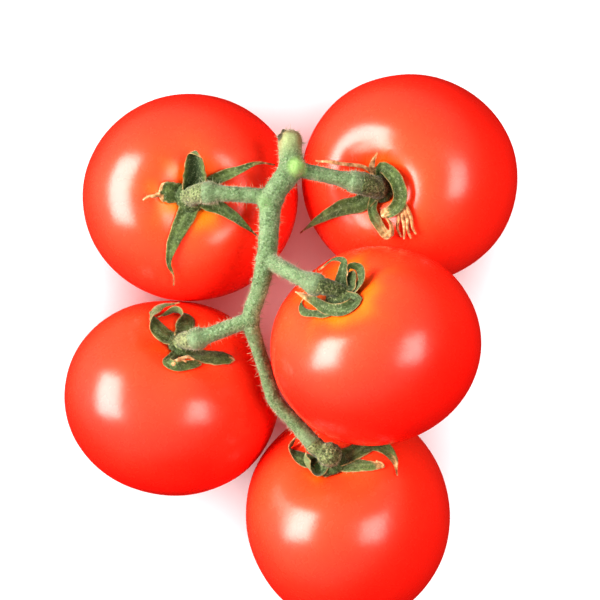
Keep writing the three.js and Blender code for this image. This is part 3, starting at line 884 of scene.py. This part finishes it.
def mixed(tree, factor, first, second):
    made = add(tree, "ShaderNodeMix", data_type="RGBA")
    for socket, value in zip((made.inputs[0], made.inputs[6], made.inputs[7]), (factor, first, second)):
        feed(tree, socket, (*value, 1) if isinstance(value, tuple) else value)
    return made.outputs[2]


def bump(tree, height, strength, distance):
    made = add(tree, "ShaderNodeBump", {"Height": height, "Strength": strength, "Distance": distance * MM})
    return made.outputs["Normal"]


def material(name, **sockets):
    made = bpy.data.materials.new(name)
    made.use_nodes = True
    shader = made.node_tree.nodes["Principled BSDF"]
    for key, value in sockets.items():
        shader.inputs[key.replace("_", " ")].default_value = value
    return made, made.node_tree, shader


def place_of(tree):
    """The surface's own place in metres, the same from every side."""
    return add(tree, "ShaderNodeTexCoord").outputs["Object"]


def tinted(tree, colour, tints):
    """A colour turned towards tints, each where a mark is set and by a share."""
    for name, share, tint in tints:
        colour = mixed(tree, maths(tree, "MULTIPLY", mark(tree, name), share), colour, tint)
    return colour


def specked(tree, place, colour, scale, band, share, tint):
    """A colour with specks of a tint where fine noise lies in a band."""
    specks = scale_ramp(tree, noise_of(tree, place, scale, GRAIN_DETAIL), *band)
    return mixed(tree, maths(tree, "MULTIPLY", specks, share), colour, tint)


def grained(tree, shader, place, coarse, fine, strength, depth):
    """Gives a surface a coarse and a fine grain of a depth in millimetres."""
    grain = maths(tree, "ADD", noise_of(tree, place, coarse), noise_of(tree, place, fine, GRAIN_DETAIL))
    feed(tree, shader.inputs["Normal"], bump(tree, grain, strength, depth))


def ripe_skin():
    """Glossy red, flushed with orange round the calyx, with a corky scar at the blossom end."""
    made, tree, shader = material("ripe_skin", Specular_IOR_Level=0.5, Subsurface_Weight=0.08,
                                  Subsurface_Scale=0.004, Subsurface_Radius=(1, 0.25, 0.1))
    axes = {axis.upper(): mark(tree, "own_" + axis) for axis in "xyz"}
    own = add(tree, "ShaderNodeCombineXYZ", axes).outputs["Vector"]
    polar = mark(tree, "polar")
    cloud = maths(tree, "SUBTRACT", noise_of(tree, own, scale=1.7), 0.5)
    flush = maths(tree, "MULTIPLY_ADD", cloud, CLOUD_ON_FLUSH, mark(tree, "flush"))
    ripe = ramp(tree, maths(tree, "MULTIPLY_ADD", cloud, CLOUD_ON_RIPENESS, polar), [
        (0.15, (0.90, 0.070, 0.025)),
        (0.40, (0.90, 0.040, 0.020)),
        (0.62, (0.88, 0.014, 0.007)),
        (1.00, (0.80, 0.010, 0.004)),
    ])
    orange = ramp(tree, flush, [
        (0.25, (0.90, 0.075, 0.014)),
        (0.60, (0.90, 0.170, 0.012)),
        (1.00, (0.88, 0.330, 0.015)),
    ])
    colour = mixed(tree, scale_ramp(tree, flush, low=0.08, high=0.5), ripe, orange)
    colour = specked(tree, own, colour, scale=85, band=(0.6, 0.75), share=0.25, tint=(0.85, 0.13, 0.03))
    scar = scale_ramp(tree, polar, *SCAR_BAND)
    feed(tree, shader.inputs["Base Color"], mixed(tree, scar, colour, (0.22, 0.09, 0.04)))
    rough = maths(tree, "MULTIPLY_ADD", noise_of(tree, own, scale=9), SKIN_ROUGHNESS_RANGE, SKIN_ROUGHNESS)
    feed(tree, shader.inputs["Roughness"], maths(tree, "MULTIPLY_ADD", scar, SCAR_ROUGHNESS, rough))
    soft, fine = noise_of(tree, own, scale=14), noise_of(tree, own, scale=90)
    grain = maths(tree, "MULTIPLY_ADD", fine, SKIN_GRAIN_SHARE, soft)
    feed(tree, shader.inputs["Normal"], bump(tree, grain, strength=0.12, distance=0.25))
    return made


def green_stalk():
    """Matt grey-green, mottled and downy, with its own tints at the cut end, the swellings and the nodule."""
    made, tree, shader = material("green_stalk", Roughness=0.72, Specular_IOR_Level=0.3, Sheen_Weight=0.25,
                                  Sheen_Roughness=0.45)
    place = place_of(tree)
    colour = ramp(tree, noise_of(tree, place, scale=300), [
        (0.30, (0.095, 0.150, 0.062)),
        (0.50, (0.135, 0.200, 0.092)),
        (0.70, (0.185, 0.255, 0.130)),
    ])
    colour = specked(tree, place, colour, scale=1400, band=(0.5, 0.38), share=0.55,
                     tint=(0.030, 0.055, 0.018))
    colour = specked(tree, place, colour, scale=1800, band=(0.54, 0.68), share=0.5, tint=(0.34, 0.41, 0.27))
    colour = tinted(tree, colour, [
        ("knuckle", 0.3, (0.16, 0.20, 0.12)),
        ("cut", 0.7, (0.34, 0.36, 0.17)),
        # browner and darker on the cut end's sides and underside
        ("rind", 0.9, (0.24, 0.18, 0.08)),
        ("spot", 0.9, (0.030, 0.018, 0.008)),
        ("axil", 0.4, (0.18, 0.29, 0.11)),
        ("bud", 0.8, (0.25, 0.40, 0.12)),
    ])
    feed(tree, shader.inputs["Base Color"], colour)
    grained(tree, shader, place, coarse=700, fine=2600, strength=0.6, depth=0.25)
    return made


def rough_stub():
    """Matt olive green with dark pores, from dark to pale by the stub's tone."""
    made, tree, shader = material("rough_stub", Roughness=0.8, Specular_IOR_Level=0.25, Sheen_Weight=0.2,
                                  Sheen_Roughness=0.5)
    place = place_of(tree)
    cloud = noise_of(tree, place, scale=500, detail=4)
    dark = ramp(tree, cloud, [
        (0.32, (0.036, 0.050, 0.014)),
        (0.50, (0.070, 0.092, 0.028)),
        (0.70, (0.112, 0.138, 0.048)),
    ])
    pale = ramp(tree, cloud, [
        (0.32, (0.120, 0.150, 0.058)),
        (0.50, (0.185, 0.222, 0.095)),
        (0.70, (0.255, 0.290, 0.140)),
    ])
    colour = mixed(tree, mark(tree, "tone"), dark, pale)
    colour = specked(tree, place, colour, scale=1700, band=(0.52, 0.38), share=0.85,
                     tint=(0.020, 0.026, 0.008))
    colour = specked(tree, place, colour, scale=1600, band=(0.55, 0.68), share=0.6, tint=(0.36, 0.37, 0.20))
    feed(tree, shader.inputs["Base Color"], colour)
    grained(tree, shader, place, coarse=900, fine=2800, strength=0.7, depth=0.3)
    return made


def green_sepal():
    """Matt dark green with a paler rib and underside, painted shade in its furrows and hollows, withered to
    tan where it is dry.
    """
    made, tree, shader = material("green_sepal", Roughness=0.68, Specular_IOR_Level=0.3, Sheen_Weight=0.2,
                                  Sheen_Roughness=0.5)
    place = place_of(tree)
    leaf = ramp(tree, noise_of(tree, place, scale=420, detail=5), [
        (0.30, (0.038, 0.056, 0.012)),
        (0.52, (0.080, 0.116, 0.026)),
        (0.72, (0.152, 0.198, 0.056)),
    ])
    leaf = tinted(tree, leaf, [
        ("rib", 0.6, (0.19, 0.25, 0.11)),
        # painted shade in the leaves' furrows and hollows and on the disc at the stub's foot
        ("furrow", 0.45, (0.025, 0.042, 0.012)),
        ("under", 0.5, (0.20, 0.25, 0.11)),
        ("shade", 0.7, (0.022, 0.040, 0.012)),
    ])
    leaf = specked(tree, place, leaf, scale=1300, band=(0.5, 0.38), share=0.35, tint=(0.022, 0.036, 0.010))
    leaf = specked(tree, place, leaf, scale=1600, band=(0.54, 0.68), share=0.45, tint=(0.27, 0.31, 0.17))
    tan = ramp(tree, noise_of(tree, place, scale=900), [
        (0.35, (0.26, 0.12, 0.045)),
        (0.55, (0.52, 0.29, 0.13)),
        (0.75, (0.72, 0.52, 0.31)),
    ])
    feed(tree, shader.inputs["Base Color"], mixed(tree, mark(tree, "dry"), leaf, tan))
    grained(tree, shader, place, coarse=600, fine=2400, strength=0.6, depth=0.2)
    return made


def pale_hair():
    """The down on the green parts, from grey-green to straw."""
    made, tree, shader = material("pale_hair", Roughness=0.6, Specular_IOR_Level=0.3)
    tone = ramp(tree, noise_of(tree, place_of(tree), scale=500), [
        (0.4, (0.32, 0.33, 0.20)),
        (0.6, (0.66, 0.60, 0.43)),
    ])
    feed(tree, shader.inputs["Base Color"], tone)
    return made


# The part

tomatoes = [place_tomato(tomato) for tomato in TOMATOES]
skin_material = ripe_skin()
calyx_materials = [green_sepal(), rough_stub()]
hair_material = pale_hair()

for number, tomato in enumerate(tomatoes):
    name = tomato["name"]
    made = piece("fruit_" + name, fruit(tomato, number), [skin_material])
    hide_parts("tomato_" + name)
    leaves = calyx(tomato, number)
    fuzz = hairs(leaves, **CALYX_HAIRS)
    made = piece("sepals_" + name, leaves, calyx_materials)
    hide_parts("calyx_" + name)
    piece("sepal_hairs_" + name, fuzz, [hair_material])

stem = vine(tomatoes)
made = piece("stalk", stem, [green_stalk()])
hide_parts("vine_stalk")
fuzz = hairs(stem, **STALK_HAIRS).add(hairs(stem, **BRISTLES))
piece("stalk_hairs", fuzz, [hair_material])


# The studio: a white table with painted pink bounce light between the fruits, a bright soft light on the
# left, a dimmer one on the right and a surround that is pale on one side

FLOOR_HALF = 4.0
FLOOR_DROP = 0.0001
TABLE_WHITE = (0.86, 0.86, 0.87)
PAINTED_BOUNCE_PINK = (0.86, 0.56, 0.55)
PAINTED_BOUNCE_MIDDLE = (0, 0.022, 0)
PAINTED_BOUNCE_REACH = (0.03, 0.065)
LIGHT_AIM = Vector((0, 0, 0.05))
SKY_RADIANCE = (0.48, 0.48, 0.48)
SKY_SIDE = (-0.45, 0.3, 0.84)
LOWER_RADIANCE = (0.30, 0.045, 0.035)
HORIZON_BAND = (-0.1, 0.3)


def floor():
    """The table, which the camera sees but which throws no light or shadow on the part, painted pink round
    the middle as the fruits' bounce light.
    """
    mesh = bpy.data.meshes.new("floor")
    corners = [(-1, -1), (1, -1), (1, 1), (-1, 1)]
    points = [(x * FLOOR_HALF, y * FLOOR_HALF, -FLOOR_DROP) for x, y in corners]
    mesh.from_pydata(points, [], [(0, 1, 2, 3)])
    made = bpy.data.objects.new("floor", mesh)
    bpy.context.scene.collection.objects.link(made)
    white, tree, shader = material("white_table_painted_bounce", Roughness=0.9, Specular_IOR_Level=0.1)
    # painted pink bounce light from the fruits on the table round the truss's middle, fading out to white
    spot = add(tree, "ShaderNodeVectorMath", {0: place_of(tree), 1: PAINTED_BOUNCE_MIDDLE}, operation="DISTANCE")
    past_bounce = scale_ramp(tree, spot.outputs["Value"], *PAINTED_BOUNCE_REACH)
    feed(tree, shader.inputs["Base Color"], mixed(tree, past_bounce, PAINTED_BOUNCE_PINK, TABLE_WHITE))
    mesh.materials.append(white)
    made.visible_diffuse = False
    made.visible_glossy = False
    made.visible_shadow = False
    return made


def softbox(name, toward, tilt, distance, size, radiance, lit):
    """A soft light on one collection alone, placed by its plan angle and its tilt from overhead."""
    data = bpy.data.lights.new(name, "AREA")
    data.shape = "RECTANGLE"
    data.size, data.size_y = size
    data.energy = math.pi * size[0] * size[1] * radiance
    made = bpy.data.objects.new(name, data)
    bpy.context.scene.collection.objects.link(made)
    plan, fall = math.radians(toward), math.radians(tilt)
    away = Vector((math.sin(fall) * math.cos(plan), math.sin(fall) * math.sin(plan), math.cos(fall)))
    made.location = LIGHT_AIM + away * distance
    made.rotation_euler = away.to_track_quat("Z", "Y").to_euler()
    made.visible_camera = False
    made.light_linking.receiver_collection = lit


def surround():
    """A pale sky over the left side, and opposite it the dim red that the tomatoes throw on each other."""
    world = bpy.data.worlds.new("surround")
    world.use_nodes = True
    tree = world.node_tree
    way = add(tree, "ShaderNodeTexCoord").outputs["Generated"]
    facing = add(tree, "ShaderNodeVectorMath", {0: way, 1: SKY_SIDE}, operation="DOT_PRODUCT")
    above = scale_ramp(tree, facing.outputs["Value"], *HORIZON_BAND)
    feed(tree, tree.nodes["Background"].inputs["Color"], mixed(tree, above, LOWER_RADIANCE, SKY_RADIANCE))
    bpy.context.scene.world = world


def camera():
    """A camera that looks straight down from the photograph's height."""
    data = bpy.data.cameras.new("camera")
    data.sensor_width = SENSOR_WIDTH
    data.lens = SENSOR_WIDTH * FOCAL_PIXELS / IMAGE_SIZE
    made = bpy.data.objects.new("camera", data)
    bpy.context.scene.collection.objects.link(made)
    made.location = Vector(CAMERA_AT) * MM
    bpy.context.scene.camera = made


truss = bpy.data.collections.new("truss")
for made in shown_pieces():
    truss.objects.link(made)
table = bpy.data.collections.new("table")
table.objects.link(floor())
softbox("left_softbox", toward=170, tilt=60, distance=1.0, size=(0.85, 0.6), radiance=13.5, lit=truss)
softbox("right_softbox", toward=0, tilt=30, distance=1.0, size=(0.55, 0.42), radiance=7.5, lit=truss)
softbox("table_softbox", toward=0, tilt=0, distance=1.4, size=(2.4, 2.4), radiance=2.3, lit=table)
surround()
camera()
bpy.context.scene.view_settings.view_transform = "Standard"
bpy.context.scene.view_settings.look = "High Contrast"
